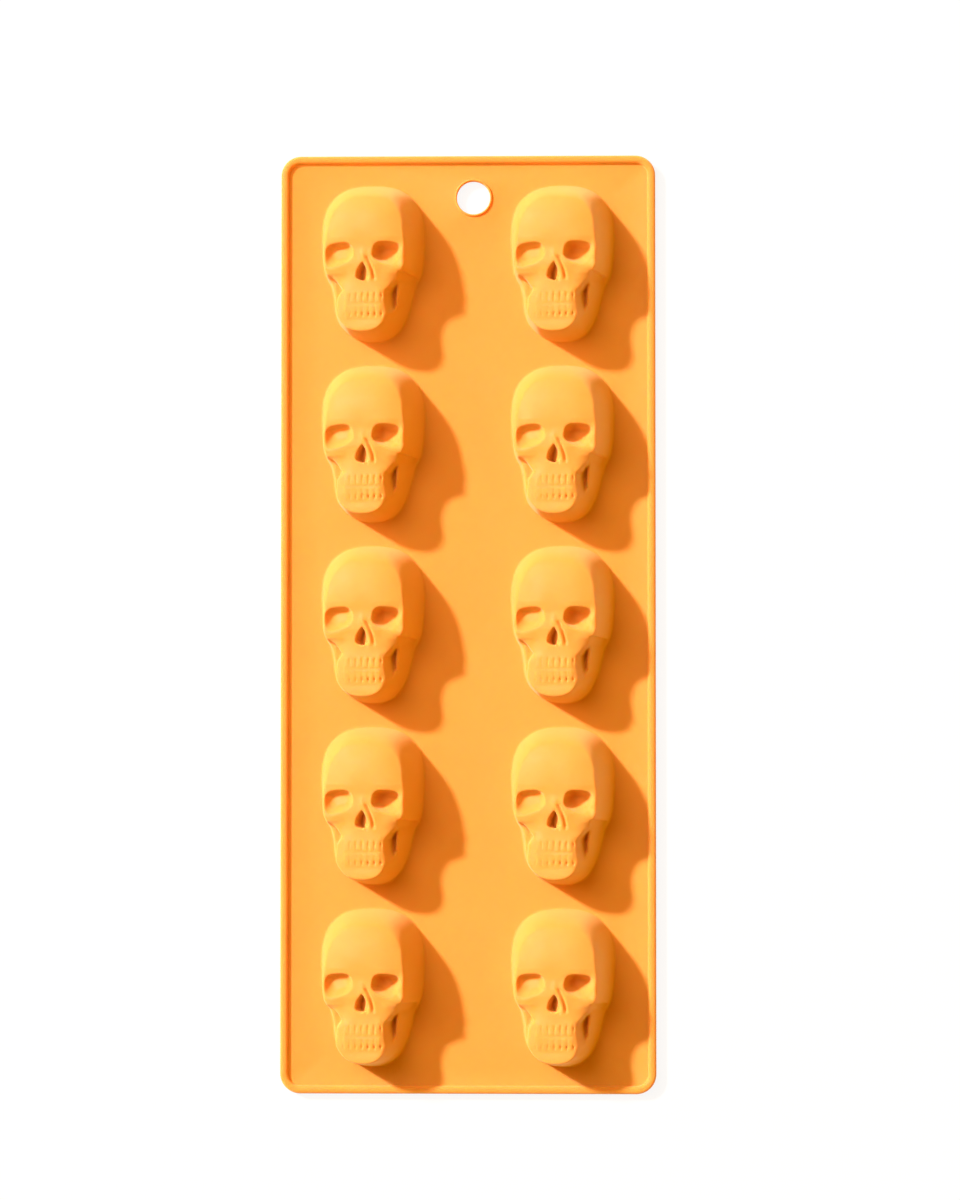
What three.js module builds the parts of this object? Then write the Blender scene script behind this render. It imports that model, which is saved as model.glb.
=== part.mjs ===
// Flexible mould for ten chocolate skulls, lying on its fill face with the backs of the cavities up.
// Millimetres, +Z up, +Y towards the hanging hole, origin on the fill face in the middle of the tray.
import * as THREE from 'three';

// Tray
const SHEET_THICKNESS = 2;
const CORNER_RADIUS = 6;
const RIM_WIDTH = 2.8;
const RIM_HEIGHT = 1.4;
const COLUMNS = 2;
const ROWS = 5;
const COLUMN_GAP = 26;
const ROW_GAP = 6;
const SIDE_MARGIN = 12.4;
const CROWN_MARGIN = 8.5;
const CHIN_MARGIN = 7.5;

// Hanging hole, set a little to one side as on the real tray
const HOLE_DIAMETER = 10;
const HOLE_FROM_END = 12.5;
const HOLE_OFFSET = 1.6;
const LIP_WIDTH = 0.6;
const LIP_HEIGHT = 0.7;

// Cups: each one is a skull in relief, with a cavity of the same form inside its wall
const SKULL_WIDTH = 30.6;
const SKULL_LENGTH = 48;
const SKULL_HEIGHT = 14.9;
const CUP_WALL = 1.5;
const MOUTH_FLARE = 0.4;
const FACE_TURN = 10;

// Face, measured from the middle of the skull: across, then up
const EYE_ACROSS = 7.1;
const EYE_UP = 1.6;
const EYE_WIDTH = 8.8;
const EYE_HEIGHT = 7;
const EYE_DEPTH_LEFT = 2.9;
const EYE_DEPTH_RIGHT = 4.6;
const EYE_SLANT = 4;
const NOSE_TOP = -0.7;
const NOSE_HEIGHT = 5.6;
const NOSE_WIDTH = 4.4;
const NOSE_DEPTH = 5;
const CHEEK_HOLLOW = 1.5;
const JAW_SLIT_ACROSS = 8.2;
const JAW_SLIT_DEPTH = 0.7;
const JAW_LEFT = 1.5;
const JAW_FOOT = 1.1;
const TEETH_DOWN = 13.2;
const TEETH_PROUD = 0.25;

// Swellings and dents of the skin: amount, place across and up, and reach across and up
const SWELLINGS = {
  brow: [0.25, 6.4, 6.4, 4.4, 1.6],
  outerRimOfEye: [0.9, 11.9, 2.2, 1.2, 2.6],
  cheekbone: [0.5, 9.8, -3.1, 2.6, 1.5],
  startOfItsArch: [1.2, 13.2, -2.6, 1.7, 1.1],
  underEye: [-0.25, 5.2, -4.6, 1.6, 2],
  nasalBones: [0.35, 0, 1, 0.9, 1.8],
  chin: [0.15, 0, -20.4, 4.6, 1.3],
  creaseOverChin: [-0.15, 0, -18, 5.8, 0.9],
};

// Facets
const FOOT_POINTS = 36;
const SKULL_POINTS = 440;
const CAVITY_POINTS = 190;
const CORNER_STEPS = 6;
const HOLE_STEPS = 24;
const GRID = 0.6;

// Proportions of the skull, chin to crown: v is a share of the length from the middle,
// and the second number a share of the half width, or of the height
const OUTLINE = [[-0.487, 0], [-0.481, 0.19], [-0.462, 0.345], [-0.428, 0.48], [-0.37, 0.6], [-0.3, 0.695],
  [-0.216, 0.765], [-0.143, 0.824], [-0.103, 0.889], [-0.06, 0.941], [0.014, 0.975], [0.098, 0.993],
  [0.181, 1], [0.275, 0.974], [0.36, 0.88], [0.42, 0.73], [0.462, 0.53], [0.483, 0.3], [0.489, 0]];
const PROFILE = [[-0.5, 0.9], [-0.46, 0.945], [-0.415, 0.955], [-0.369, 0.957], [-0.33, 0.96], [-0.281, 0.96],
  [-0.225, 0.96], [-0.165, 0.955], [-0.09, 0.96], [-0.027, 0.985], [0.025, 0.978], [0.069, 0.97],
  [0.119, 0.985], [0.181, 1], [0.265, 0.97], [0.348, 0.88], [0.41, 0.77], [0.489, 0.58]];
const FACE_WIDTH = [[-0.5, 0.5], [-0.454, 0.5], [-0.402, 0.495], [-0.35, 0.48], [-0.277, 0.45], [-0.23, 0.44],
  [-0.2, 0.45], [-0.177, 0.5], [-0.142, 0.59], [-0.104, 0.74], [-0.085, 0.86],
  [-0.04, 0.88], [0.025, 0.86], [0.09, 0.85], [0.125, 0.85], [0.181, 0.915], [0.5, 0.915]];
const WALL_SLOPE = [[-0.5, 8], [-0.433, 7], [-0.34, 5], [-0.25, 4], [-0.14, 3.9], [-0.09, 5.2], [-0.03, 5.2],
  [0.07, 4.5], [0.2, 3.5], [0.35, 3.2], [0.42, 3.5], [0.5, 4]];

// How far the side wall rounds into the face: everywhere, and more on the near side and the crown
const SHOULDER = 1.4;
const SHOULDER_LEFT = 2;
const SHOULDER_CROWN = 3;

const OUTLINE_STEPS = 160;
const HALF_WIDTH = SKULL_WIDTH / 2;
const TURN = Math.sin(THREE.MathUtils.degToRad(FACE_TURN));
const COLUMN_PITCH = SKULL_WIDTH + COLUMN_GAP;
const ROW_PITCH = SKULL_LENGTH + ROW_GAP;
const TRAY_WIDTH = COLUMNS * SKULL_WIDTH + (COLUMNS - 1) * COLUMN_GAP + 2 * SIDE_MARGIN;
const TRAY_LENGTH = ROWS * SKULL_LENGTH + (ROWS - 1) * ROW_GAP + CROWN_MARGIN + CHIN_MARGIN;
const HOLE_RADIUS = HOLE_DIAMETER / 2;
const HOLE_CENTRE = new THREE.Vector2(HOLE_OFFSET, TRAY_LENGTH / 2 - HOLE_FROM_END);

const { clamp, smoothstep } = THREE.MathUtils;
const fall = (x, high, low) => 1 - smoothstep(x, low, high);
const bump = (u, v, cu, cv, ru, rv) => Math.exp(-(((u - cu) / ru) ** 2) - ((v - cv) / rv) ** 2);

function smoothMin(a, b, blend) {
  const t = clamp(0.5 + 0.5 * (b - a) / blend, 0, 1);
  return b + (a - b) * t - blend * t * (1 - t);
}

// A monotone cubic through the points, so that no curve overshoots between them
function curveThrough(points) {
  const last = points.length - 1;
  const step = points.slice(1).map((p, i) => p[0] - points[i][0]);
  const slope = points.slice(1).map((p, i) => (p[1] - points[i][1]) / step[i]);
  const tangent = points.map((_, i) => {
    if (i === 0 || i === last) return slope[Math.min(i, last - 1)];
    if (slope[i - 1] * slope[i] <= 0) return 0;
    const before = 2 * step[i] + step[i - 1];
    const after = step[i] + 2 * step[i - 1];
    return (before + after) / (before / slope[i - 1] + after / slope[i]);
  });
  return (x) => {
    const at = clamp(x, points[0][0], points[last][0]);
    let i = 0;
    while (i < last - 1 && at > points[i + 1][0]) i += 1;
    const t = (at - points[i][0]) / step[i];
    return (2 * t ** 3 - 3 * t ** 2 + 1) * points[i][1] + (t ** 3 - 2 * t ** 2 + t) * step[i] * tangent[i]
      + (3 * t ** 2 - 2 * t ** 3) * points[i + 1][1] + (t ** 3 - t ** 2) * step[i] * tangent[i + 1];
  };
}

const profileAt = curveThrough(PROFILE);
const faceWidthAt = curveThrough(FACE_WIDTH);
const wallSlopeAt = curveThrough(WALL_SLOPE);

// Outline of the skull on the sheet, counterclockwise, in equal steps along its length
function outlineLoop(count) {
  const right = OUTLINE.map(([v, w]) => new THREE.Vector3(w * HALF_WIDTH, v * SKULL_LENGTH, 0));
  const left = right.slice(1, -1).reverse().map(
    ({ x, y }) => new THREE.Vector3(-x - JAW_FOOT * bump(0, y, 0, -17, 1, 4), y, 0),
  );
  const spline = new THREE.CatmullRomCurve3([...right, ...left], true);
  spline.arcLengthDivisions = OUTLINE_STEPS * 4;
  return spline.getSpacedPoints(count).slice(0, count).map((p) => new THREE.Vector2(p.x, p.y));
}

const edgeLoop = outlineLoop(OUTLINE_STEPS);

// Distance from a closed loop, positive inside it
function insideDistance(loop, u, v) {
  let best = Infinity;
  let inside = false;
  for (let i = 0, j = loop.length - 1; i < loop.length; j = i, i += 1) {
    const a = loop[j];
    const b = loop[i];
    const [du, dv] = [b.x - a.x, b.y - a.y];
    const t = clamp(((u - a.x) * du + (v - a.y) * dv) / (du * du + dv * dv), 0, 1);
    best = Math.min(best, (u - a.x - t * du) ** 2 + (v - a.y - t * dv) ** 2);
    if (a.y > v !== b.y > v && u < a.x + ((v - a.y) / dv) * du) inside = !inside;
  }
  return inside ? Math.sqrt(best) : -Math.sqrt(best);
}

// Rounded shape of an eye socket: 1 on its edge, less inside. Its foot leans outwards.
function eyeShape(across, v) {
  const slant = THREE.MathUtils.degToRad(-EYE_SLANT);
  const du = across - EYE_ACROSS;
  const up = v - EYE_UP;
  const dv = up + 0.25 * du * smoothstep(-up, -1, 2);
  const x = Math.abs(du * Math.cos(slant) + dv * Math.sin(slant)) / (EYE_WIDTH / 2);
  const y = Math.abs(dv * Math.cos(slant) - du * Math.sin(slant)) / (EYE_HEIGHT / 2);
  const roundness = 3;
  return (x ** roundness + y ** roundness) ** (1 / roundness);
}

// Distance outside the nose opening, an arch that widens downwards
const noseHalfAt = curveThrough([
  [-1, 0.25], [-0.93, 0.75], [-0.77, 1], [-0.52, 0.87], [-0.29, 0.57], [-0.11, 0.22], [0, 0],
]);
function noseDistance(across, v) {
  const down = v - NOSE_TOP;
  const half = noseHalfAt(down / NOSE_HEIGHT) * NOSE_WIDTH / 2;
  const beyond = Math.max(down, 0) + Math.max(-NOSE_HEIGHT - down, 0);
  const within = beyond === 0 ? clamp(half - across, 0, 1.5) : 0;
  return Math.hypot(Math.max(across - half, 0), beyond) - within;
}

// Height of the skull over the sheet before its side wall. The side of the head that the face
// turns away from is the open side, with deeper hollows.
function reliefHeight(u, v) {
  const across = Math.abs(u);
  const front = profileAt(v / SKULL_LENGTH) * SKULL_HEIGHT;
  const openSide = smoothstep(u, -3, 3);
  const jaw = fall(v, -6, -10);

  // forehead, and the temple behind the brow
  const dome = front - (1.5 + 0.8 * smoothstep(v, 6, 14)) * (across / 11) ** 2.4;
  const temple = dome - 2 * fall(v, 6.5, 3.5) * smoothstep(across, 12, 13.8);

  // side of the jaw, with the hollow and the slit in front of its upright branch
  const shallow = openSide + (1 - openSide) * (0.1 + 0.3 * smoothstep(v, -9.5, -6));
  const hollow = shallow * fall(across, 9.4, 8.2) * fall(v, -4, -5.6) * smoothstep(v, -15.4, -12.8);
  const slit = bump(across, 0, JAW_SLIT_ACROSS, 0, 0.45, 1) * fall(v, -4.6, -7) * smoothstep(v, -14.2, -12.6);
  const branch = 9.2 - 0.16 * Math.max(across - 9.5, 0) ** 2 - 1.5 * (1 - openSide)
    - CHEEK_HOLLOW * hollow - JAW_SLIT_DEPTH * openSide * slit;
  const side = temple + (branch - temple) * fall(v, -2.9, -4.4 - 1.6 * (1 - openSide));

  // face, standing proud of the sides
  const tuck = 0.9 * (1 - openSide) * fall(v, -3.9, -5.2) * smoothstep(v, -11, -9);
  const faceHalf = faceWidthAt((v - tuck) / SKULL_LENGTH) * HALF_WIDTH
    + JAW_LEFT * fall(u, 3, -3) * fall(v, -8.5, -11.5);
  const edge = Math.min(across / Math.max(faceHalf, 1), 1.3);
  const face = front - (1 - jaw) * 2.2 * edge ** 2.6 - jaw * 1.3 * edge ** 6;
  let h = side + (Math.max(face, side) - side) * smoothstep(faceHalf - across, -0.7 - 0.3 * jaw, 0.7);
  h += (dome - h) * smoothstep(v, 5.8, 7.6);

  for (const [amount, ...place] of Object.values(SWELLINGS)) h += amount * bump(across, v, ...place);
  h += TEETH_PROUD * bump(0, v, 0, -TEETH_DOWN, 1, 3.4) * fall(across, 6.2, 5.2);

  // nose, deepest on its near side
  const noseDepth = NOSE_DEPTH * (0.1 + 0.9 * fall(u, 2, -1.3));
  h -= noseDepth * fall(noseDistance(across, v), 0.1, -0.7 - 0.6 * smoothstep(u, -0.6, 0.8));

  // eye sockets: steep under the brow, with a floor that rises towards the cheek
  const eye = Math.min(eyeShape(across, v), 1);
  const outwards = (across - EYE_ACROSS) * Math.sign(u);
  const lean = clamp((0.27 - 0.1 * openSide) * (v - EYE_UP) - (0.03 + 0.2 * openSide) * outwards, -1, 1);
  const eyeDepth = EYE_DEPTH_LEFT + (EYE_DEPTH_RIGHT - EYE_DEPTH_LEFT) * openSide;
  const sunk = 1 - eye ** (3.3 + 2.1 * lean);
  h -= eyeDepth * (1 + 0.3 * lean) * 1.1 * sunk ** 2 / (sunk + 0.1);
  return h;
}

function outerHeight(u, v) {
  const wall = wallSlopeAt(v / SKULL_LENGTH) * insideDistance(edgeLoop, u, v);
  const left = smoothstep(-u, 4, 10) * smoothstep(v, -6, -2);
  const crown = smoothstep(v, 8, 18) * (1 - 0.5 * smoothstep(u, 3, 9));
  return smoothMin(reliefHeight(u, v), wall, SHOULDER + SHOULDER_LEFT * left + SHOULDER_CROWN * crown);
}

// Cavity: the outer form drawn in by the wall in every direction
const EVERY_WAY = [0, 45, 90].flatMap((tilt) => {
  const ways = tilt === 0 ? 1 : 8;
  const [out, down] = [Math.sin(THREE.MathUtils.degToRad(tilt)), Math.cos(THREE.MathUtils.degToRad(tilt))];
  return Array.from({ length: ways }, (_, i) => {
    const turn = (i / ways) * 2 * Math.PI;
    return new THREE.Vector3(out * Math.cos(turn), out * Math.sin(turn), down).multiplyScalar(CUP_WALL);
  });
});
const cavityHeight = (u, v) => Math.min(...EVERY_WAY.map((way) => outerHeight(u + way.x, v + way.y) - way.z));

// Turn the face to one side, with its outline left where it stands on the sheet
function turned(u, v, h) {
  return new THREE.Vector3(u - TURN * h, v, SHEET_THICKNESS + h * (1 + TURN * u / (0.8 * SKULL_HEIGHT)));
}

// The loop moved inwards by a distance
function insetLoop(loop, distance) {
  return loop.map((p, i) => {
    const before = loop[(i + loop.length - 1) % loop.length];
    const after = loop[(i + 1) % loop.length];
    const along = after.clone().sub(before).normalize();
    return new THREE.Vector2(p.x - along.y * distance, p.y + along.x * distance);
  });
}

// Triangles over flat points that grow one point at a time and stay Delaunay
class Triangulation {
  constructor(size) {
    this.points = [[-size, -size], [size, -size], [0, size]].map(([x, y]) => ({ x, y, h: 0 }));
    this.faces = new Set();
    this.addFace(0, 1, 2);
  }

  addFace(a, b, c) {
    const [p, q, r] = [a, b, c].map((i) => this.points[i]);
    const [qx, qy, rx, ry] = [q.x - p.x, q.y - p.y, r.x - p.x, r.y - p.y];
    const twice = 2 * (qx * ry - qy * rx);
    const x = (ry * (qx * qx + qy * qy) - qy * (rx * rx + ry * ry)) / twice;
    const y = (qx * (rx * rx + ry * ry) - rx * (qx * qx + qy * qy)) / twice;
    const face = { corners: [a, b, c], x: p.x + x, y: p.y + y, reach: x * x + y * y, waiting: [] };
    this.faces.add(face);
    return face;
  }

  // Adds a point and gives back the faces that it replaced and the new ones
  insert(point) {
    const old = [...this.faces].filter((f) => (point.x - f.x) ** 2 + (point.y - f.y) ** 2 < f.reach);
    const edges = new Map();
    for (const { corners: [a, b, c] } of old) {
      for (const [from, to] of [[a, b], [b, c], [c, a]]) {
        if (!edges.delete(`${to} ${from}`)) edges.set(`${from} ${to}`, [from, to]);
      }
    }
    old.forEach((face) => this.faces.delete(face));
    const tip = this.points.push(point) - 1;
    return { old, fresh: [...edges.values()].map(([from, to]) => this.addFace(from, to, tip)) };
  }

  // Height of a face at a point, or null where the point is outside it
  heightOn({ corners }, { x, y }) {
    const [p, q, r] = corners.map((i) => this.points[i]);
    const area = (q.x - p.x) * (r.y - p.y) - (q.y - p.y) * (r.x - p.x);
    const s = ((x - p.x) * (r.y - p.y) - (y - p.y) * (r.x - p.x)) / area;
    const t = ((q.x - p.x) * (y - p.y) - (q.y - p.y) * (x - p.x)) / area;
    if (s < -1e-9 || t < -1e-9 || s + t > 1 + 1e-9) return null;
    return p.h + s * (q.h - p.h) + t * (r.h - p.h);
  }
}

// Fits a skin to a height inside a loop: it starts on the loop and keeps adding, on both sides of
// the face, the point of a fine grid where the skin is furthest from the form
function fitSkin(loop, heightAt, count) {
  const size = 4 * SKULL_LENGTH;
  const skin = new Triangulation(size);
  const uneven = (i) => 1e-4 * Math.sin(i * 12.9898);
  const spread = (face, waiting) => {
    for (const spot of waiting) {
      const on = skin.heightOn(face, spot);
      if (on !== null) {
        spot.error = Math.abs(on - spot.h) / spot.steepness;
        face.waiting.push(spot);
      }
    }
  };
  const add = (point) => {
    const { old, fresh } = skin.insert(point);
    const waiting = old.flatMap((face) => face.waiting).filter((spot) => spot !== point);
    fresh.forEach((face) => spread(face, waiting));
  };
  loop.forEach((p, i) => add({ x: p.x + uneven(i), y: p.y + uneven(i + 0.5), h: 0, edge: i }));

  const spots = [];
  for (let row = -Math.floor(SKULL_LENGTH / 2 / GRID); row * GRID < SKULL_LENGTH / 2; row += 1) {
    for (let column = 0; column * GRID < HALF_WIDTH; column += 1) {
      const [u, v] = [(column + 0.5) * GRID, row * GRID];
      if (insideDistance(loop, u, v) > 0.8 * GRID) {
        const pair = [u, -u].map((x) => {
          const h = heightAt(x, v);
          const rise = Math.hypot(heightAt(x + 0.1, v) - h, heightAt(x, v + 0.1) - h) / 0.1;
          const i = spots.length + (x > 0 ? 0 : 0.3);
          return { x: x + uneven(i), y: v + uneven(i + 0.5), h, steepness: Math.hypot(1, rise) };
        });
        pair[0].twin = pair[1];
        pair[1].twin = pair[0];
        spots.push(...pair);
      }
    }
  }
  skin.faces.forEach((face) => spread(face, spots));
  while (skin.points.length - 3 < count) {
    const worst = spots.reduce((a, b) => (b.error > a.error ? b : a));
    for (const spot of [worst, worst.twin]) {
      add(spot);
      spot.error = -1;
    }
  }
  return skin;
}

// Collects rings of points and the faces between them
class Skin {
  constructor() {
    this.points = [];
    this.faces = [];
  }

  ring(points) {
    const start = this.points.length;
    this.points.push(...points);
    return points.map((_, i) => start + i);
  }

  join(outer, inner, up) {
    outer.forEach((a, i) => {
      const next = (i + 1) % outer.length;
      this.face([a, outer[next], inner[next]], up);
      this.face([a, inner[next], inner[i]], up);
    });
  }

  face([a, b, c], up) {
    this.faces.push(...(up ? [a, b, c] : [a, c, b]));
  }

  geometry() {
    const geometry = new THREE.BufferGeometry();
    const places = this.points.flatMap((p) => p.toArray());
    geometry.setAttribute('position', new THREE.Float32BufferAttribute(places, 3));
    geometry.setIndex(this.faces);
    geometry.computeVertexNormals();
    return geometry;
  }
}

// Covers the loop, whose ring is already in the skin, with the fitted form
function coverLoop(skin, ring, loop, heightAt, count, up) {
  const fitted = fitSkin(loop, heightAt, count);
  const ids = fitted.points.map(({ x, y, h, edge }) => {
    if (edge === undefined) return skin.ring([turned(x, y, h)])[0];
    return ring[edge];
  });
  for (const { corners } of fitted.faces) {
    const [p, q, r] = corners.map((i) => fitted.points[i]);
    const inside = insideDistance(loop, (p.x + q.x + r.x) / 3, (p.y + q.y + r.y) / 3) > 0;
    if (Math.min(...corners) > 2 && inside) skin.face(corners.map((i) => ids[i]), up);
  }
}

function cupGeometry() {
  const skin = new Skin();
  const outline = outlineLoop(FOOT_POINTS);
  const mouth = insetLoop(outline, CUP_WALL);
  const foot = skin.ring(outline.map((p) => turned(p.x, p.y, 0)));
  const brim = skin.ring(mouth.map((p) => turned(p.x, p.y, 0)));
  skin.join(foot, brim, false);
  coverLoop(skin, foot, outline, outerHeight, SKULL_POINTS, true);
  coverLoop(skin, brim, mouth, cavityHeight, CAVITY_POINTS, false);
  return skin.geometry();
}

// Rounded rectangle of the tray, drawn in by an inset, with the same points at every inset
function trayLoop(inset) {
  const radius = CORNER_RADIUS - inset;
  const corners = [[1, -1], [1, 1], [-1, 1], [-1, -1]];
  return corners.flatMap(([sx, sy], quarter) => Array.from({ length: CORNER_STEPS + 1 }, (_, k) => {
    const angle = (quarter - 1 + k / CORNER_STEPS) * Math.PI / 2;
    return new THREE.Vector2(
      sx * (TRAY_WIDTH / 2 - CORNER_RADIUS) + radius * Math.cos(angle),
      sy * (TRAY_LENGTH / 2 - CORNER_RADIUS) + radius * Math.sin(angle),
    );
  }));
}

function circleLoop(centre, radius, count) {
  return Array.from({ length: count }, (_, i) => {
    const angle = (i / count) * 2 * Math.PI;
    return new THREE.Vector2(centre.x + radius * Math.cos(angle), centre.y + radius * Math.sin(angle));
  });
}

// Half round bead standing on the sheet: loops from its outer foot over the top to its inner foot
function beadGeometry(loopAt, width, height, steps) {
  const skin = new Skin();
  const rings = Array.from({ length: steps + 1 }, (_, i) => {
    const angle = (i / steps) * Math.PI;
    const inset = (width / 2) * (1 - Math.cos(angle));
    const z = i === steps ? SHEET_THICKNESS : SHEET_THICKNESS + height * Math.sin(angle);
    return skin.ring(loopAt(inset).map((p) => new THREE.Vector3(p.x, p.y, z)));
  });
  rings.slice(1).forEach((ring, i) => skin.join(rings[i], ring, true));
  skin.join(rings[0], rings.at(-1), false);
  return skin.geometry();
}

const columnX = (column) => (column - (COLUMNS - 1) / 2) * COLUMN_PITCH;
const rowY = (row) => TRAY_LENGTH / 2 - CROWN_MARGIN - SKULL_LENGTH / 2 - row * ROW_PITCH;

// Sheet with the cavity mouths, which flare towards the fill face, and the hanging hole
function sheetGeometry() {
  const skin = new Skin();
  const hole = circleLoop(HOLE_CENTRE, HOLE_RADIUS, HOLE_STEPS);
  const outline = outlineLoop(FOOT_POINTS);
  const openings = [{ low: hole, high: hole }];
  for (let column = 0; column < COLUMNS; column += 1) {
    for (let row = 0; row < ROWS; row += 1) {
      const place = new THREE.Vector2(columnX(column), rowY(row));
      const [low, high] = [CUP_WALL - MOUTH_FLARE, CUP_WALL].map((inset) => insetLoop(outline, inset));
      openings.push({ low: low.map((p) => p.add(place)), high: high.map((p) => p.add(place)) });
    }
  }
  const edge = trayLoop(0);
  const ringAt = (loop, z) => skin.ring(loop.map((p) => new THREE.Vector3(p.x, p.y, z)));
  const wall = ({ low, high }, up) => {
    const pair = { low: ringAt(low, 0), high: ringAt(high, SHEET_THICKNESS) };
    skin.join(pair.low, pair.high, up);
    return pair;
  };
  const edgeRings = wall({ low: edge, high: edge }, true);
  const openingRings = openings.map((opening) => wall(opening, false));
  for (const level of ['low', 'high']) {
    const ids = [edgeRings, ...openingRings].flatMap((rings) => rings[level]);
    const faces = THREE.ShapeUtils.triangulateShape(edge, openings.map((opening) => opening[level]));
    for (const face of faces) skin.face(face.map((i) => ids[i]), level === 'high');
  }
  return skin.geometry();
}

const SILICONE = { color: 0xfcb64e, roughness: 0.6, metalness: 0 };
const mould = new THREE.Group();

function addPiece(name, geometry, x = 0, y = 0) {
  const mesh = new THREE.Mesh(geometry, new THREE.MeshStandardMaterial(SILICONE));
  mesh.name = name;
  mesh.position.set(x, y, 0);
  mould.add(mesh);
}

addPiece('tray_sheet', sheetGeometry());
addPiece('rim_bead', beadGeometry(trayLoop, RIM_WIDTH, RIM_HEIGHT, 6));
const lipLoop = (inset) => circleLoop(HOLE_CENTRE, HOLE_RADIUS + LIP_WIDTH - inset, HOLE_STEPS);
addPiece('hanging_eyelet', beadGeometry(lipLoop, LIP_WIDTH, LIP_HEIGHT, 3));

const cup = cupGeometry();
for (let column = 0; column < COLUMNS; column += 1) {
  for (let row = 0; row < ROWS; row += 1) {
    const side = COLUMNS === 2 ? ['left', 'right'][column] : `column_${column + 1}`;
    addPiece(`skull_cup_${side}_${row + 1}`, cup, columnX(column), rowY(row));
  }
}

export default mould;
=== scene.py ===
"""Looks of a flexible silicone mould for chocolate skulls, lying on its fill face. Metres, +Z up."""
import math

import bpy
import numpy as np
from mathutils import Matrix, Vector
from mathutils.geometry import delaunay_2d_cdt


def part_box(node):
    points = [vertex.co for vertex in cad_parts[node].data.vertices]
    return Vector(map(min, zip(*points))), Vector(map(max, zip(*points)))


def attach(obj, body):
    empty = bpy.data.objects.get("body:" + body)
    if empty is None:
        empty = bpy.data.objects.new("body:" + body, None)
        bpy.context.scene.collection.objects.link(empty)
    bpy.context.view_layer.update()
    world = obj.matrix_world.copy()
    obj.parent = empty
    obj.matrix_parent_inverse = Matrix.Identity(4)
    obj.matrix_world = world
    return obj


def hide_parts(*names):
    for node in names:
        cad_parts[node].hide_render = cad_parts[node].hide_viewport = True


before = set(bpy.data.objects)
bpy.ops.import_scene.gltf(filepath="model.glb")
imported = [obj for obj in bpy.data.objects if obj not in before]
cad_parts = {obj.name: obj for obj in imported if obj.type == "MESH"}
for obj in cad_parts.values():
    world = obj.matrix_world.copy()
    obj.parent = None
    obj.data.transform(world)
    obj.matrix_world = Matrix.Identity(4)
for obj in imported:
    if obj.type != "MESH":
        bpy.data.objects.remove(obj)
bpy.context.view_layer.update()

MM = 0.001

# Places and sizes in millimetres, read from the frame
HALF_TRAY_X, HALF_TRAY_Y, SHEET_TOP = np.array(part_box("tray_sheet")[1]) / MM
BEAD_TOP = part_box("rim_bead")[1][2] / MM
LIP_LOW, LIP_HIGH = [np.array(corner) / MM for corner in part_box("hanging_eyelet")]
CUPS = {name: [np.array(corner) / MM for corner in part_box(name)]
        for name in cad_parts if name.startswith("skull_cup_")}
CUP_LOW, CUP_HIGH = next(iter(CUPS.values()))
SKULL_WIDTH = CUP_HIGH[0] - CUP_LOW[0]

# Sizes that the frame's boxes don't show, as in the part
SKULL_LENGTH = 48
SKULL_HEIGHT = 14.9
CUP_WALL = 1.5
MOUTH_FLARE = 0.4
FACE_TURN = 10
SHOULDER, SHOULDER_LEFT, SHOULDER_CROWN = 1.4, 2, 3
CORNER_RADIUS = 6
HOLE_RADIUS = 5
EYE_ACROSS, EYE_UP, EYE_WIDTH, EYE_HEIGHT, EYE_SLANT = 7.1, 1.6, 8.8, 7, 4
EYE_DEPTH_LEFT, EYE_DEPTH_RIGHT = 2.9, 4.6
NOSE_TOP, NOSE_HEIGHT, NOSE_WIDTH, NOSE_DEPTH = -0.7, 5.6, 4.4, 5
CHEEK_HOLLOW = 1.5
JAW_SLIT_ACROSS, JAW_SLIT_DEPTH = 8.2, 0.7
JAW_LEFT, JAW_FOOT = 1.5, 1.1
TEETH_DOWN, TEETH_PROUD = 13.2, 0.25

# Fine forms that only the scene has. The bead is narrower than the solid's and flatter on top,
# so that the dark line beside it is as thin as in the photograph.
BEAD_WIDTH, BEAD_ROUNDNESS = 2.35, 0.8
EDGE_ROUND = 0.5
FOOT_FILLET = 0.6
TOOTH_PITCH = 1.85
TOOTH_GAP = 0.3
ARCH_STEP = 0.75

# Fineness of the meshes, in millimetres between points
FACE_GRID = 0.25
CAVITY_GRID = 0.55
OUTLINE_STEPS = 300

# Proportions of the skull, chin to crown: v as a share of the length from the middle,
# and the second number a share of the half width, or of the height
OUTLINE = [(-0.487, 0), (-0.481, 0.19), (-0.462, 0.345), (-0.428, 0.48), (-0.37, 0.6),
           (-0.3, 0.695), (-0.216, 0.765), (-0.143, 0.824), (-0.103, 0.889), (-0.06, 0.941),
           (0.014, 0.975), (0.098, 0.993), (0.181, 1), (0.275, 0.974), (0.36, 0.88),
           (0.42, 0.73), (0.462, 0.53), (0.483, 0.3), (0.489, 0)]
PROFILE = [(-0.5, 0.9), (-0.46, 0.945), (-0.415, 0.955), (-0.369, 0.957), (-0.33, 0.96), (-0.281, 0.96),
           (-0.225, 0.96), (-0.165, 0.955), (-0.09, 0.96), (-0.027, 0.985), (0.025, 0.978), (0.069, 0.97),
           (0.119, 0.985), (0.181, 1), (0.265, 0.97), (0.348, 0.88), (0.41, 0.77), (0.489, 0.58)]
FACE_WIDTH = [(-0.5, 0.5), (-0.454, 0.5), (-0.402, 0.495), (-0.35, 0.48), (-0.277, 0.45), (-0.23, 0.44),
              (-0.2, 0.45), (-0.177, 0.5), (-0.142, 0.59), (-0.104, 0.74), (-0.085, 0.86),
              (-0.04, 0.88), (0.025, 0.86), (0.09, 0.85), (0.125, 0.85), (0.181, 0.915), (0.5, 0.915)]
WALL_SLOPE = [(-0.5, 8), (-0.433, 7), (-0.34, 5), (-0.25, 4), (-0.14, 3.9), (-0.09, 5.2), (-0.03, 5.2),
              (0.07, 4.5), (0.2, 3.5), (0.35, 3.2), (0.42, 3.5), (0.5, 4)]
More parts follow.
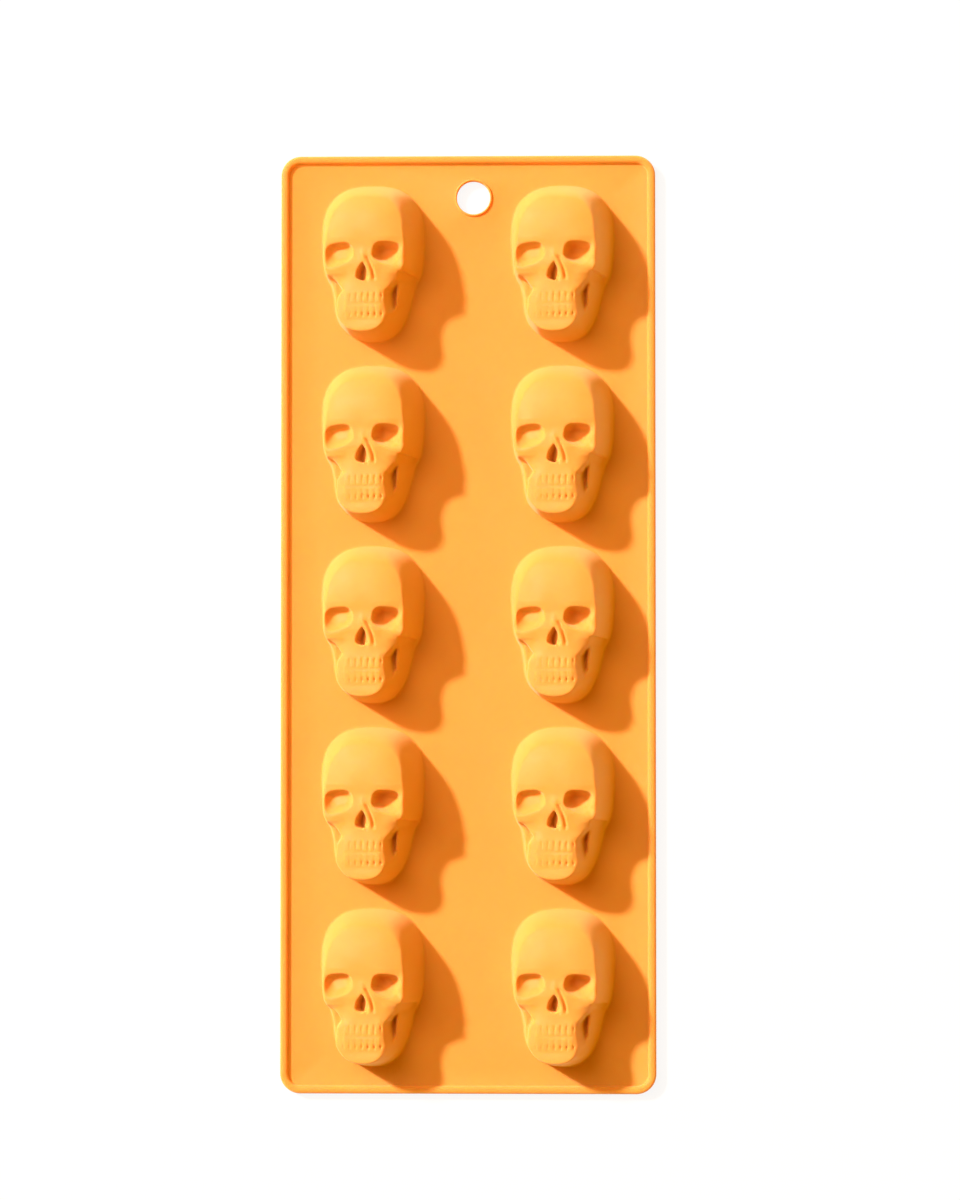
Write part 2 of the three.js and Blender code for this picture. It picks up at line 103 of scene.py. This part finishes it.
NOSE_SHAPE = [(-1, 0.25), (-0.93, 0.75), (-0.77, 1), (-0.52, 0.87), (-0.29, 0.57), (-0.11, 0.22), (0, 0)]

# Swellings and dents of the skin: amount, place across and up, and reach across and up
SWELLINGS = {
    "brow": (0.25, 6.4, 6.4, 4.4, 1.6),
    "outer rim of the eye": (0.9, 11.9, 2.2, 1.2, 2.6),
    "cheekbone": (0.5, 9.8, -3.1, 2.6, 1.5),
    "start of its arch": (1.2, 13.2, -2.6, 1.7, 1.1),
    "under the eye": (-0.25, 5.2, -4.6, 1.6, 2),
    "nasal bones": (0.35, 0, 1, 0.9, 1.8),
    "chin": (0.15, 0, -20.4, 4.6, 1.3),
    "crease over the chin": (-0.15, 0, -18, 5.8, 0.9),
}

HALF_WIDTH = SKULL_WIDTH / 2
TURN = math.sin(math.radians(FACE_TURN))


def curve(points, x):
    """A monotone cubic through the points, so that no curve overshoots between them."""
    xs, ys = np.array(points, float).T
    step = np.diff(xs)
    slope = np.diff(ys) / step
    tangent = np.zeros(len(xs))
    tangent[0], tangent[-1] = slope[0], slope[-1]
    for i in range(1, len(xs) - 1):
        if slope[i - 1] * slope[i] > 0:
            before, after = 2 * step[i] + step[i - 1], step[i] + 2 * step[i - 1]
            tangent[i] = (before + after) / (before / slope[i - 1] + after / slope[i])
    x = np.clip(x, xs[0], xs[-1])
    i = np.clip(np.searchsorted(xs, x) - 1, 0, len(xs) - 2)
    t = (x - xs[i]) / step[i]
    return ((2 * t**3 - 3 * t**2 + 1) * ys[i] + (t**3 - 2 * t**2 + t) * step[i] * tangent[i]
            + (3 * t**2 - 2 * t**3) * ys[i + 1] + (t**3 - t**2) * step[i] * tangent[i + 1])


def smoothstep(x, low, high):
    t = np.clip((x - low) / (high - low), 0, 1)
    return t * t * (3 - 2 * t)


def fall(x, high, low):
    return 1 - smoothstep(x, low, high)


def bump(u, v, cu, cv, ru, rv):
    return np.exp(-((u - cu) / ru) ** 2 - ((v - cv) / rv) ** 2)


def smooth_min(a, b, blend):
    t = np.clip(0.5 + 0.5 * (b - a) / blend, 0, 1)
    return b + (a - b) * t - blend * t * (1 - t)


def outline_loop(count):
    """Outline of the skull on the sheet, counterclockwise, in equal steps along its length."""
    right = [(w * HALF_WIDTH, v * SKULL_LENGTH) for v, w in OUTLINE]
    left = [(-x - JAW_FOOT * bump(0, y, 0, -17, 1, 4), y) for x, y in right[-2:0:-1]]
    p = np.array(right + left)
    before, after, later = np.roll(p, 1, 0), np.roll(p, -1, 0), np.roll(p, -2, 0)
    span = np.sqrt(np.linalg.norm(after - p, axis=1))
    span_before, span_after = np.roll(span, 1), np.roll(span, -1)
    start = ((p - before) / span_before[:, None] - (after - before) / (span_before + span)[:, None]
             + (after - p) / span[:, None]) * span[:, None]
    end = ((after - p) / span[:, None] - (later - p) / (span + span_after)[:, None]
           + (later - after) / span_after[:, None]) * span[:, None]
    t = np.linspace(0, 1, 200, endpoint=False)[None, :, None]
    p, after, start, end = p[:, None], after[:, None], start[:, None], end[:, None]
    fine = (2 * t**3 - 3 * t**2 + 1) * p + (t**3 - 2 * t**2 + t) * start
    fine = (fine + (3 * t**2 - 2 * t**3) * after + (t**3 - t**2) * end).reshape(-1, 2)
    along = np.concatenate([[0], np.cumsum(np.linalg.norm(np.roll(fine, -1, 0) - fine, axis=1))])
    at = np.linspace(0, along[-1], count, endpoint=False)
    closed = np.vstack([fine, fine[:1]])
    return np.stack([np.interp(at, along, closed[:, k]) for k in (0, 1)], 1)


def inset_loop(loop, distance):
    """The loop moved inwards by a distance."""
    along = np.roll(loop, -1, 0) - np.roll(loop, 1, 0)
    along /= np.linalg.norm(along, axis=1)[:, None]
    return loop + distance * np.stack([-along[:, 1], along[:, 0]], 1)


def inside_distance(loop, u, v):
    """Distance from a closed loop, positive inside it."""
    best = np.full(u.shape, np.inf)
    inside = np.zeros(u.shape, bool)
    for (ax, ay), (bx, by) in zip(loop, np.roll(loop, -1, 0)):
        du, dv = bx - ax, by - ay
        t = np.clip(((u - ax) * du + (v - ay) * dv) / (du * du + dv * dv), 0, 1)
        best = np.minimum(best, (u - ax - t * du) ** 2 + (v - ay - t * dv) ** 2)
        if ay != by:
            inside ^= ((ay > v) != (by > v)) & (u < ax + (v - ay) / dv * du)
    return np.where(inside, 1, -1) * np.sqrt(best)


EDGE_LOOP = outline_loop(OUTLINE_STEPS)


def cup_origin(low, high):
    """Where the skull's own origin stands, from the box of its cup."""
    return np.array([(low[0] + high[0]) / 2, low[1] - EDGE_LOOP[:, 1].min()])


def eye_shape(across, v):
    """Rounded shape of an eye socket: 1 on its edge, less inside. Its foot leans outwards."""
    slant = math.radians(-EYE_SLANT)
    du, dv = across - EYE_ACROSS, v - EYE_UP
    dv = dv + 0.25 * du * smoothstep(-dv, -1, 2)
    x = np.abs(du * math.cos(slant) + dv * math.sin(slant)) / (EYE_WIDTH / 2)
    y = np.abs(dv * math.cos(slant) - du * math.sin(slant)) / (EYE_HEIGHT / 2)
    roundness = 3
    return (x**roundness + y**roundness) ** (1 / roundness)


def nose_distance(across, v):
    """Distance outside the nose opening, an arch that widens downwards."""
    down = v - NOSE_TOP
    half = curve(NOSE_SHAPE, down / NOSE_HEIGHT) * NOSE_WIDTH / 2
    beyond = np.maximum(down, 0) + np.maximum(-NOSE_HEIGHT - down, 0)
    within = np.where(beyond == 0, np.clip(half - across, 0, 1.5), 0)
    return np.hypot(np.maximum(across - half, 0), beyond) - within


def teeth(u, v):
    """Grooves between the teeth, and the line where the two rows meet."""
    across = np.abs(u)
    from_gap = ((u + 0.05) / TOOTH_PITCH + 0.5) % 1 - 0.5
    gap = np.exp(-((from_gap * TOOTH_PITCH / TOOTH_GAP) ** 2))
    upper = smoothstep(v, -13.0, -12.5) * fall(v, -9.3, -10.7)
    lower = fall(v, -13.5, -14.1) * smoothstep(v, -17.6, -16.4)
    mouth = np.exp(-(((v + 13.25) / 0.45) ** 2))
    upper_roots = np.exp(-(((v + 10.9) / 0.7) ** 2))
    lower_roots = np.exp(-(((v + 16.4) / 0.6) ** 2))
    grooves = gap * (0.17 * upper + 0.08 * lower + 0.22 * upper_roots + 0.4 * lower_roots)
    rows = 0.06 * (upper + lower) - grooves - 0.07 * mouth
    return fall(across, 6.1, 5.5) * rows * (0.5 + smoothstep(u, -5, 2))


def nose_groove(u, v):
    """Groove beside the nose with the ridge before it, on the side that the turned face shows."""
    down = (0.7 - v) / 6.8
    run = 1.2 + 3.9 * down - 1.85 * down**2
    ends = smoothstep(v, -6.9, -5.2) * fall(v, 1.3, 0)
    groove = np.exp(-(((u - run) / 0.45) ** 2))
    ridge = np.exp(-(((u - run + 0.95) / 0.5) ** 2))
    return ends * (0.2 * ridge - 0.8 * groove)


def septum(u, v):
    """Thin wall that parts the foot of the nose opening, and the shallow lobe beside it."""
    wall = 0.9 * bump(u, v, 0.35, -6, 0.25, 0.9) * fall(nose_distance(np.abs(u), v), 0.1, -0.4)
    return wall - 0.8 * bump(u, v, 1.2, -5.5, 0.4, 0.9)


def under_arch(u, v):
    """How far the side wall is drawn in below the arch of bone behind the cheek, on the open side."""
    below = -4 + 0.6 * np.exp(-(((u - 10.8) / 1.4) ** 2)) - v
    return ARCH_STEP * smoothstep(u, 9.3, 10.3) * smoothstep(below, 0, 0.4) * fall(below, 5.5, 0.8)


def relief_height(u, v):
    """Height of the skull over the sheet before its side wall.

    The side of the head that the face turns away from is the open side, with deeper hollows.
    """
    across = np.abs(u)
    front = curve(PROFILE, v / SKULL_LENGTH) * SKULL_HEIGHT
    open_side = smoothstep(u, -3, 3)
    jaw = fall(v, -6, -10)

    # forehead, and the temple behind the brow
    dome = front - (1.5 + 0.8 * smoothstep(v, 6, 14)) * (across / 11) ** 2.4
    temple = dome - 2 * fall(v, 6.5, 3.5) * smoothstep(across, 12, 13.8)

    # side of the jaw, with the hollow and the slit in front of its upright branch
    hollow = fall(across, 9.4, 8.2) * fall(v, -4, -5.6) * smoothstep(v, -15.4, -12.8)
    hollow = hollow * (open_side + (1 - open_side) * (0.1 + 0.3 * smoothstep(v, -9.5, -6)))
    slit = bump(across, 0, JAW_SLIT_ACROSS, 0, 0.45, 1) * fall(v, -4.6, -7) * smoothstep(v, -14.2, -12.6)
    branch = 9.2 - 0.16 * np.maximum(across - 9.5, 0) ** 2 - 1.5 * (1 - open_side)
    branch = branch - CHEEK_HOLLOW * hollow - JAW_SLIT_DEPTH * open_side * slit
    side = temple + (branch - temple) * fall(v, -2.9, -4.4 - 1.6 * (1 - open_side))

    # face, standing proud of the sides
    tuck = 0.9 * (1 - open_side) * fall(v, -3.9, -5.2) * smoothstep(v, -11, -9)
    face_half = curve(FACE_WIDTH, (v - tuck) / SKULL_LENGTH) * HALF_WIDTH
    face_half = face_half + JAW_LEFT * fall(u, 3, -3) * fall(v, -8.5, -11.5)
    edge = np.minimum(across / np.maximum(face_half, 1), 1.3)
    face = front - (1 - jaw) * 2.2 * edge**2.6 - jaw * 1.3 * edge**6
    h = side + (np.maximum(face, side) - side) * smoothstep(face_half - across, -0.7 - 0.3 * jaw, 0.7)
    h += (dome - h) * smoothstep(v, 5.8, 7.6)

    for amount, *place in SWELLINGS.values():
        h += amount * bump(across, v, *place)
    h += TEETH_PROUD * bump(0, v, 0, -TEETH_DOWN, 1, 3.4) * fall(across, 6.2, 5.2)

    # nose, deepest on its near side
    nose_depth = NOSE_DEPTH * (0.1 + 0.9 * fall(u, 2, -1.3))
    h -= nose_depth * fall(nose_distance(across, v), 0.1, -0.7 - 0.6 * smoothstep(u, -0.6, 0.8))

    # eye sockets: steep under the brow, with a floor that rises towards the cheek
    eye = np.minimum(eye_shape(across, v), 1)
    outwards = (across - EYE_ACROSS) * np.sign(u)
    lean = (0.27 - 0.1 * open_side) * (v - EYE_UP) - (0.03 + 0.2 * open_side) * outwards
    lean = np.clip(lean, -1, 1)
    eye_depth = EYE_DEPTH_LEFT + (EYE_DEPTH_RIGHT - EYE_DEPTH_LEFT) * open_side
    sunk = 1 - eye ** (3.3 + 2.1 * lean)
    h -= eye_depth * (1 + 0.3 * lean) * 1.1 * sunk**2 / (sunk + 0.1)
    return h


def outer_height(u, v):
    """Height of the cup over the sheet: the relief with its fine forms, and the side wall."""
    inside = inside_distance(EDGE_LOOP, u, v)
    inside = inside - under_arch(u, v) * smoothstep(inside, 0, 2 * ARCH_STEP)
    relief = relief_height(u, v) + teeth(u, v) + nose_groove(u, v) + septum(u, v)
    wall = curve(WALL_SLOPE, v / SKULL_LENGTH) * inside
    left = smoothstep(-u, 4, 10) * smoothstep(v, -6, -2)
    crown = smoothstep(v, 8, 18) * (1 - 0.5 * smoothstep(u, 3, 9))
    return smooth_min(relief, wall, SHOULDER + SHOULDER_LEFT * left + SHOULDER_CROWN * crown)


def cavity_height(u, v):
    """The outer form drawn in by the wall in every direction."""
    height = outer_height(u, v) - CUP_WALL
    for tilt in (math.radians(45), math.radians(90)):
        out, down = CUP_WALL * math.sin(tilt), CUP_WALL * math.cos(tilt)
        for turn in np.linspace(0, 2 * math.pi, 8, endpoint=False):
            beside = outer_height(u + out * np.cos(turn), v + out * np.sin(turn))
            height = np.minimum(height, beside - down)
    return height


def turned(u, v, h):
    """Turns the face to one side, with its outline left where it stands on the sheet."""
    return np.stack([u - TURN * h, v, SHEET_TOP + h * (1 + TURN * u / (0.8 * SKULL_HEIGHT))], -1)


def triangulate(loops, extra=()):
    """Triangles between closed loops: the first outside, the rest holes, and extra points inside."""
    points = [Vector(p) for loop in loops for p in loop] + [Vector(p) for p in extra]
    edges, start = [], 0
    for loop in loops:
        edges += [(start + i, start + (i + 1) % len(loop)) for i in range(len(loop))]
        start += len(loop)
    made, _, faces, source, _, _ = delaunay_2d_cdt(points, edges, [], 1, 1e-7)
    ids = [s[0] for s in source]
    holes = [np.array(loop) for loop in loops[1:]]
    middles = np.array([sum((made[i] for i in face), Vector((0, 0))) / 3 for face in faces])
    keep = np.ones(len(faces), bool)
    for hole in holes:
        low, high = hole.min(0), hole.max(0)
        near = ((middles > low) & (middles < high)).all(1)
        keep[near] &= inside_distance(hole, *middles[near].T) < 0
    return [[ids[i] for i in face] for face, kept in zip(faces, keep) if kept]


class Skin:
    """Collects rings of points and the faces between them, in millimetres."""

    def __init__(self):
        self.points = []
        self.faces = []
        self.sharp_rings = []

    def append(self, other, place):
        """Copies another skin to a place, and gives back the number of its first point."""
        start = len(self.points)
        self.points += [(x + place[0], y + place[1], z) for x, y, z in other.points]
        self.faces += [tuple(i + start for i in face) for face in other.faces]
        self.sharp_rings += [[i + start for i in ring] for ring in other.sharp_rings]
        return start

    def add(self, points):
        start = len(self.points)
        self.points += [tuple(p) for p in points]
        return list(range(start, len(self.points)))

    def join(self, ring, following, up=True):
        for i in range(len(ring)):
            k = (i + 1) % len(ring)
            face = (ring[i], ring[k], following[k], following[i])
            self.faces.append(face if up else face[::-1])

    def cap(self, ids, triangles, up=True):
        for triangle in triangles:
            face = tuple(ids[i] for i in triangle)
            self.faces.append(face if up else face[::-1])

    def mesh(self, name):
        """Mesh in metres, smooth everywhere but along the sharp rings."""
        mesh = bpy.data.meshes.new(name)
        mesh.from_pydata([[c * MM for c in p] for p in self.points], [], self.faces)
        mesh.validate()
        mesh.shade_smooth()
        ring_of = np.zeros(len(self.points), int)
        for k, ring in enumerate(self.sharp_rings):
            ring_of[ring] = k + 1
        ends = np.empty(2 * len(mesh.edges), int)
        mesh.edges.foreach_get("vertices", ends)
        first, second = ring_of[ends].reshape(-1, 2).T
        sharp = mesh.attributes.new("sharp_edge", "BOOLEAN", "EDGE")
        sharp.data.foreach_set("value", (first == second) & (first > 0))
        return mesh


def cover_loop(skin, ring, loop, height_at, step, up):
    """Covers a loop, whose ring is already in the skin, with the form on a fine grid."""
    low, high = loop.min(0), loop.max(0)
    u, v = np.meshgrid(np.arange(low[0], high[0], step), np.arange(low[1], high[1], step))
    u, v = u.ravel(), v.ravel()
    room_at_edge = 0.6 * step
    kept = inside_distance(loop, u, v) > room_at_edge
    u, v = u[kept], v[kept]
    ids = ring + skin.add(turned(u, v, height_at(u, v)))
    skin.cap(ids, triangulate([loop], np.stack([u, v], 1)), up)


def foot_fillet(skin):
    """Rings of a small fillet between sheet and side wall, and the loops where it starts and ends."""
    wall = np.arctan(curve(WALL_SLOPE, EDGE_LOOP[:, 1] / SKULL_LENGTH))
    inwards = inset_loop(EDGE_LOOP, 1) - EDGE_LOOP
    rings, loops = [], []
    for t in np.linspace(0, 1, 7):
        inset = FOOT_FILLET * (t**2 * np.cos(wall) - (1 - t) ** 2)
        loops.append(EDGE_LOOP + inset[:, None] * inwards)
        rings.append(skin.add(turned(*loops[-1].T, FOOT_FILLET * t**2 * np.sin(wall))))
    for ring, following in zip(rings, rings[1:]):
        skin.join(ring, following)
    return rings, loops[0], loops[-1]


def cup_skin():
    """One cup, open where it joins the sheet, with its outer loop and ring and those of its mouth."""
    skin = Skin()
    rings, foot_loop, wall_loop = foot_fillet(skin)
    cover_loop(skin, rings[-1], wall_loop, outer_height, FACE_GRID, True)
    brim_loop, mouth_loop = [inset_loop(EDGE_LOOP, CUP_WALL - flare) for flare in (0, MOUTH_FLARE)]
    brim = skin.add(turned(*brim_loop.T, np.zeros(len(brim_loop))))
    cover_loop(skin, brim, brim_loop, cavity_height, CAVITY_GRID, False)
    mouth = skin.add([(x, y, 0) for x, y in mouth_loop])
    skin.join(mouth, brim, up=False)
    skin.sharp_rings.append(mouth)
    return skin, (foot_loop, rings[0]), (mouth_loop, mouth)


def tray_loop(inset, corner_steps=14):
    """Rounded rectangle of the tray, drawn in by an inset."""
    half_x, half_y = HALF_TRAY_X - CORNER_RADIUS, HALF_TRAY_Y - CORNER_RADIUS
    loop = []
    for quarter, (sx, sy) in enumerate(((1, -1), (1, 1), (-1, 1), (-1, -1))):
        for k in range(corner_steps + 1):
            angle = (quarter - 1 + k / corner_steps) * math.pi / 2
            radius = CORNER_RADIUS - inset
            loop.append((sx * half_x + radius * math.cos(angle), sy * half_y + radius * math.sin(angle)))
    return np.array(loop)


def circle_loop(centre, radius, count=72):
    angles = np.linspace(0, 2 * math.pi, count, endpoint=False)
    return centre + radius * np.stack([np.cos(angles), np.sin(angles)], 1)


def bead_profile(width, height, steps=24):
    """Rounded section from its outer foot over the top to a small fillet on the sheet: (inset, z)."""
    section = []
    for angle in np.linspace(0, math.pi * 0.97, steps):
        across = math.copysign(abs(math.cos(angle)) ** BEAD_ROUNDNESS, math.cos(angle))
        section.append((width / 2 * (1 - across), SHEET_TOP + height * math.sin(angle) ** BEAD_ROUNDNESS))
    foot_inset, foot_z = section[-1]
    rise = foot_z - SHEET_TOP
    fillet = [(foot_inset + 0.4 * rise, SHEET_TOP + 0.35 * rise), (foot_inset + 1.4 * rise, SHEET_TOP)]
    return section + fillet


def mould_mesh():
    """Sheet, edge bead, lip of the hanging hole and cups as one moulded body."""
    skin = Skin()

    def ring_at(loop, z):
        return skin.add([(x, y, z) for x, y in loop])

    under = [(EDGE_ROUND * (1 - math.sin(a)), EDGE_ROUND * (1 - math.cos(a)))
             for a in np.linspace(0, math.pi / 2, 5)]
    section = under + bead_profile(BEAD_WIDTH, BEAD_TOP - SHEET_TOP)
    rings = [ring_at(tray_loop(inset), z) for inset, z in section]
    for ring, following in zip(rings, rings[1:]):
        skin.join(ring, following)
    lows, highs = [(tray_loop(section[0][0]), rings[0])], [(tray_loop(section[-1][0]), rings[-1])]

    hole = (LIP_LOW[:2] + LIP_HIGH[:2]) / 2
    lip_width = (LIP_HIGH[0] - LIP_LOW[0]) / 2 - HOLE_RADIUS
    lip = bead_profile(lip_width, LIP_HIGH[2] - SHEET_TOP, 9)
    lip = [(HOLE_RADIUS + inset, z) for inset, z in lip]
    lip_rings = [ring_at(circle_loop(hole, radius), z) for radius, z in lip]
    for ring, following in zip(lip_rings, lip_rings[1:]):
        skin.join(ring, following, up=False)
    highs.append((circle_loop(hole, lip[-1][0]), lip_rings[-1]))
    hole_low = [ring_at(circle_loop(hole, HOLE_RADIUS + inset), z) for inset, z in under[::-1]]
    for ring, following in zip(hole_low, hole_low[1:]):
        skin.join(ring, following, up=True)
    skin.join(lip_rings[0], hole_low[0])
    lows.append((circle_loop(hole, HOLE_RADIUS + under[0][0]), hole_low[-1]))

    cup, foot, mouth = cup_skin()
    for low, high in CUPS.values():
        place = cup_origin(low, high)
        start = skin.append(cup, place)
        for level, (loop, ring) in ((highs, foot), (lows, mouth)):
            level.append((loop + place, [i + start for i in ring]))
    for level, up in ((lows, False), (highs, True)):
        ids = [i for _, ring in level for i in ring]
        skin.cap(ids, triangulate([loop for loop, _ in level]), up)
    return skin.mesh("mould")


def node_tree(material):
    material.use_nodes = True
    nodes, links = material.node_tree.nodes, material.node_tree.links
    return nodes, links, nodes["Principled BSDF"]


def silicone():
    """Matte orange silicone: a fine moulded grain, faint clouds in the colour, and soft light inside."""
    material = bpy.data.materials.new("orange_silicone")
    nodes, links, shader = node_tree(material)
    place = nodes.new("ShaderNodeNewGeometry")

    clouds = nodes.new("ShaderNodeTexNoise")
    clouds.inputs["Scale"].default_value = 38
    clouds.inputs["Detail"].default_value = 3
    tint = nodes.new("ShaderNodeValToRGB")
    tint.color_ramp.elements[0].position = 0.3
    tint.color_ramp.elements[0].color = (0.803, 0.352, 0.057, 1)
    tint.color_ramp.elements[1].position = 0.7
    tint.color_ramp.elements[1].color = (0.807, 0.363, 0.061, 1)
    links.new(place.outputs["Position"], clouds.inputs["Vector"])
    links.new(clouds.outputs["Fac"], tint.inputs["Fac"])
    links.new(tint.outputs["Color"], shader.inputs["Base Color"])

    smudges = nodes.new("ShaderNodeTexNoise")
    smudges.inputs["Scale"].default_value = 210
    smudges.inputs["Detail"].default_value = 4
    matt = nodes.new("ShaderNodeMapRange")
    matt.inputs["From Min"].default_value = 0.3
    matt.inputs["From Max"].default_value = 0.7
    matt.inputs["To Min"].default_value = 0.56
    matt.inputs["To Max"].default_value = 0.68
    links.new(place.outputs["Position"], smudges.inputs["Vector"])
    links.new(smudges.outputs["Fac"], matt.inputs["Value"])
    links.new(matt.outputs["Result"], shader.inputs["Roughness"])

    grain = nodes.new("ShaderNodeTexNoise")
    grain.inputs["Scale"].default_value = 2600
    grain.inputs["Detail"].default_value = 2
    ripple = nodes.new("ShaderNodeBump")
    ripple.inputs["Strength"].default_value = 0.25
    ripple.inputs["Distance"].default_value = 0.00004
    links.new(place.outputs["Position"], grain.inputs["Vector"])
    links.new(grain.outputs["Fac"], ripple.inputs["Height"])
    links.new(ripple.outputs["Normal"], shader.inputs["Normal"])

    shader.inputs["Subsurface Weight"].default_value = 0.45
    shader.inputs["Subsurface Radius"].default_value = (1.0, 0.28, 0.06)
    shader.inputs["Subsurface Scale"].default_value = 0.0025
    shader.inputs["Specular IOR Level"].default_value = 0.3
    shader.inputs["Diffuse Roughness"].default_value = 1
    shader.inputs["Sheen Weight"].default_value = 0.18
    shader.inputs["Sheen Roughness"].default_value = 0.6
    shader.inputs["Sheen Tint"].default_value = (1, 0.78, 0.74, 1)
    return material


def add_object(name, data):
    thing = bpy.data.objects.new(name, data)
    bpy.context.scene.collection.objects.link(thing)
    return thing


def add_mould(material):
    mould = add_object("mould", mould_mesh())
    mould.data.materials.append(material)
    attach(mould, "root")
    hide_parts("tray_sheet", "rim_bead", "hanging_eyelet", *CUPS)


# Camera: straight over the tray but for a small lean, aimed at the middle of the photograph's frame
CAMERA_AIM = Vector((3.5, 7.0, 0)) * MM
CAMERA_DISTANCE = 1.1
CAMERA_LEAN_X, CAMERA_LEAN_Y = math.radians(1.42), math.radians(-1.67)
CAMERA_LENS = 110.3


def add_camera():
    camera = add_object("camera", bpy.data.cameras.new("camera"))
    camera.data.lens = CAMERA_LENS
    camera.data.sensor_width = 36
    camera.data.clip_start, camera.data.clip_end = 0.05, 20
    back = Vector((math.tan(CAMERA_LEAN_X), math.tan(CAMERA_LEAN_Y), 1)).normalized()
    up = (Vector((0, 1, 0)) - back * back.y).normalized()
    right = up.cross(back)
    camera.rotation_mode = "QUATERNION"
    camera.rotation_quaternion = Matrix((right, up, back)).transposed().to_quaternion()
    camera.location = CAMERA_AIM + back * CAMERA_DISTANCE
    bpy.context.scene.camera = camera


# Light: a key from the upper left of the picture, low enough for its long shadows, a wide sky
# above it, and a weak warm bounce and fill that keep the shadows orange
KEY_ELEVATION, KEY_SWING = math.radians(36), math.radians(34)
KEY_STRENGTH = 5
KEY_SOFTNESS = math.radians(4)
SKY_ELEVATION, SKY_SWING = math.radians(58), math.radians(34)
SKY_STRENGTH = 1.9
SKY_SOFTNESS = math.radians(32)
SKY_DISTANCE = 1
SKY_COLOUR = (1, 0.71, 0.42)
BOUNCE_ELEVATION, BOUNCE_SWING = math.radians(15), math.radians(200)
BOUNCE_STRENGTH = 1.25
BOUNCE_SOFTNESS = math.radians(60)
BOUNCE_COLOUR = (1, 0.5, 0.01)
FILL_STRENGTH = 0.34
FILL_COLOUR = (1, 0.62, 0.02, 1)


def add_lamp(name, kind, elevation, swing, distance=0):
    """Lamp at an elevation over the floor, swung from the left towards the top of the picture."""
    lamp = add_object(name, bpy.data.lights.new(name, kind))
    flat = math.cos(elevation)
    towards = Vector((-flat * math.cos(swing), flat * math.sin(swing), math.sin(elevation)))
    lamp.location = towards * distance
    lamp.rotation_mode = "QUATERNION"
    lamp.rotation_quaternion = towards.to_track_quat("Z", "Y")
    return lamp


def add_sun(name, elevation, swing, strength, softness):
    sun = add_lamp(name, "SUN", elevation, swing)
    sun.data.energy = strength
    sun.data.angle = softness
    return sun


def add_light():
    add_sun("key", KEY_ELEVATION, KEY_SWING, KEY_STRENGTH, KEY_SOFTNESS)
    sky = add_lamp("sky", "AREA", SKY_ELEVATION, SKY_SWING, SKY_DISTANCE)
    sky.data.shape = "DISK"
    sky.data.size = 2 * SKY_DISTANCE * math.tan(SKY_SOFTNESS / 2)
    sky.data.energy = SKY_STRENGTH * math.pi * SKY_DISTANCE**2
    sky.data.color = SKY_COLOUR
    sky.visible_camera = False
    bounce = add_sun("bounce", BOUNCE_ELEVATION, BOUNCE_SWING, BOUNCE_STRENGTH, BOUNCE_SOFTNESS)
    bounce.data.color = BOUNCE_COLOUR

    world = bpy.data.worlds.new("studio")
    bpy.context.scene.world = world
    world.use_nodes = True
    nodes, links = world.node_tree.nodes, world.node_tree.links
    fill = nodes["Background"]
    fill.inputs["Strength"].default_value = FILL_STRENGTH
    fill.inputs["Color"].default_value = FILL_COLOUR
    seen = nodes.new("ShaderNodeBackground")
    seen.inputs["Color"].default_value = (1, 1, 1, 1)
    path, mix = nodes.new("ShaderNodeLightPath"), nodes.new("ShaderNodeMixShader")
    links.new(path.outputs["Is Camera Ray"], mix.inputs["Fac"])
    links.new(fill.outputs[0], mix.inputs[1])
    links.new(seen.outputs[0], mix.inputs[2])
    links.new(mix.outputs[0], nodes["World Output"].inputs["Surface"])


# Floor: its half width, its gap below the mould, and the share of plain white that the camera sees
FLOOR_HALF = 3
FLOOR_DROP = 0.05 * MM
FLOOR_GLOW = 0.9


def add_floor():
    """Pale floor that shows nearly white to the camera and keeps a light shadow of the mould."""
    mesh = bpy.data.meshes.new("floor")
    signs = ((-1, -1), (1, -1), (1, 1), (-1, 1))
    corners = [(x * FLOOR_HALF, y * FLOOR_HALF, -FLOOR_DROP) for x, y in signs]
    mesh.from_pydata(corners, [], [(0, 1, 2, 3)])
    floor = add_object("floor", mesh)
    material = bpy.data.materials.new("pale_floor")
    nodes, links, shader = node_tree(material)
    shader.inputs["Base Color"].default_value = (0.9, 0.9, 0.9, 1)
    shader.inputs["Roughness"].default_value = 0.9
    glow = nodes.new("ShaderNodeEmission")
    path, share = nodes.new("ShaderNodeLightPath"), nodes.new("ShaderNodeMath")
    share.operation = "MULTIPLY"
    share.inputs[1].default_value = FLOOR_GLOW
    mix = nodes.new("ShaderNodeMixShader")
    links.new(path.outputs["Is Camera Ray"], share.inputs[0])
    links.new(share.outputs[0], mix.inputs["Fac"])
    links.new(shader.outputs[0], mix.inputs[1])
    links.new(glow.outputs[0], mix.inputs[2])
    links.new(mix.outputs[0], nodes["Material Output"].inputs["Surface"])
    mesh.materials.append(material)


add_camera()
add_light()
add_floor()
add_mould(silicone())
bpy.context.scene.view_settings.view_transform = "Standard"
